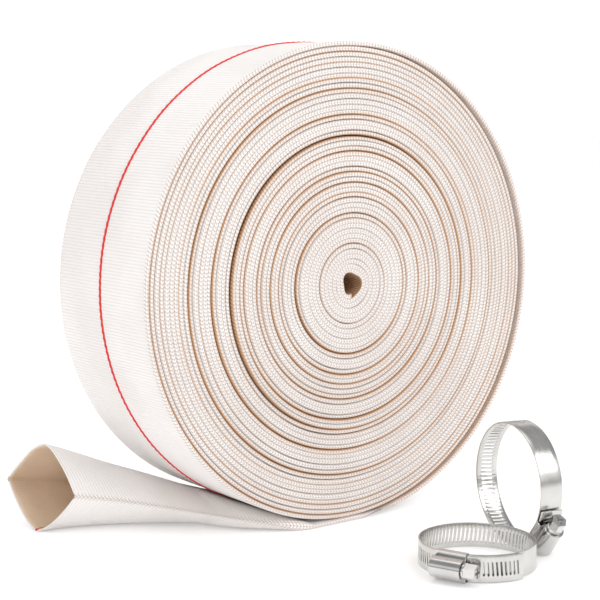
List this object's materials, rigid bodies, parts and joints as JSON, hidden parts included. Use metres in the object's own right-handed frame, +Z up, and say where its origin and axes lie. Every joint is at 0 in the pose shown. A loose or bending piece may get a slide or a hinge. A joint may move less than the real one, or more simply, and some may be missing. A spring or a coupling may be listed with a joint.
{
  "type": "rolled fire hose",
  "caption": "Lay-flat fire hose wound flat into an upright roll with one end opened on the floor, and loose worm-drive hose clamps beside it.",
  "frame": {"origin": "on the floor, on the flat underside of the hose, straight below the coil's axis at mid-width", "axes": "+Z up; the coil's axis lies along Y with its front face towards -Y; the opened end leaves towards -X"},
  "size_m": [0.2847, 0.2428, 0.261],
  "materials": {
    "jacket": "woven polyester, off-white",
    "lining": "smooth tan lining",
    "tracer": "red twisted yarn",
    "band_steel": "rolled stainless strip",
    "housing_steel": "pressed stainless, bright",
    "screw_steel": "bright plated"
  },
  "bodies": {
    "hose": {"jacket_coil": "jacket", "jacket_tail": "jacket", "liner_coil": "lining", "liner_tail": "lining", "tracer_yarn": "tracer"},
    "lying_clamp": {"lying_band_fixed_half": "band_steel", "lying_housing": "housing_steel", "lying_saddle": "housing_steel"},
    "lying_strip": {"lying_band_slotted_half": "band_steel"},
    "lying_screw": {"lying_worm_screw": "screw_steel"},
    "standing_clamp": {"standing_band_fixed_half": "band_steel", "standing_housing": "housing_steel", "standing_saddle": "housing_steel"},
    "standing_strip": {"standing_band_slotted_half": "band_steel"},
    "standing_screw": {"standing_worm_screw": "screw_steel"}
  },
  "joints": [
    {"name": "lying_clamp_lift", "type": "slide", "parent": "hose", "child": "lying_clamp", "axis": [0, 0, 1], "range_m": [0, 0.12]},
    {"name": "lying_band_close", "type": "hinge", "parent": "lying_clamp", "child": "lying_strip", "pos_m": [0.02996, -0.12784, 0.00635], "axis": [0.0131, 0.005, 0.9999], "range_deg": [0, 4.61]},
    {"name": "lying_screw_turn", "type": "hinge", "parent": "lying_clamp", "child": "lying_screw", "pos_m": [-0.02857, -0.15031, 0.00724], "axis": [-0.3584, 0.9336, 0], "range_deg": [0, 720]},
    {"name": "standing_clamp_lift", "type": "slide", "parent": "hose", "child": "standing_clamp", "axis": [0, 0, 1], "range_m": [0, 0.12]},
    {"name": "standing_band_close", "type": "hinge", "parent": "standing_clamp", "child": "standing_strip", "pos_m": [0.05139, -0.09964, 0.05211], "axis": [-0.9744, 0.225, 0], "range_deg": [0, 4.27]},
    {"name": "standing_screw_turn", "type": "hinge", "parent": "standing_clamp", "child": "standing_screw", "pos_m": [0.03956, -0.1509, 0.00951], "axis": [0.1416, 0.6132, -0.7771], "range_deg": [0, 720]}
  ],
  "couplings": [
    {"joint": "lying_band_close", "follows": "lying_screw_turn", "ratio": 0.0059904},
    {"joint": "standing_band_close", "follows": "standing_screw_turn", "ratio": 0.0055184}
  ]
}
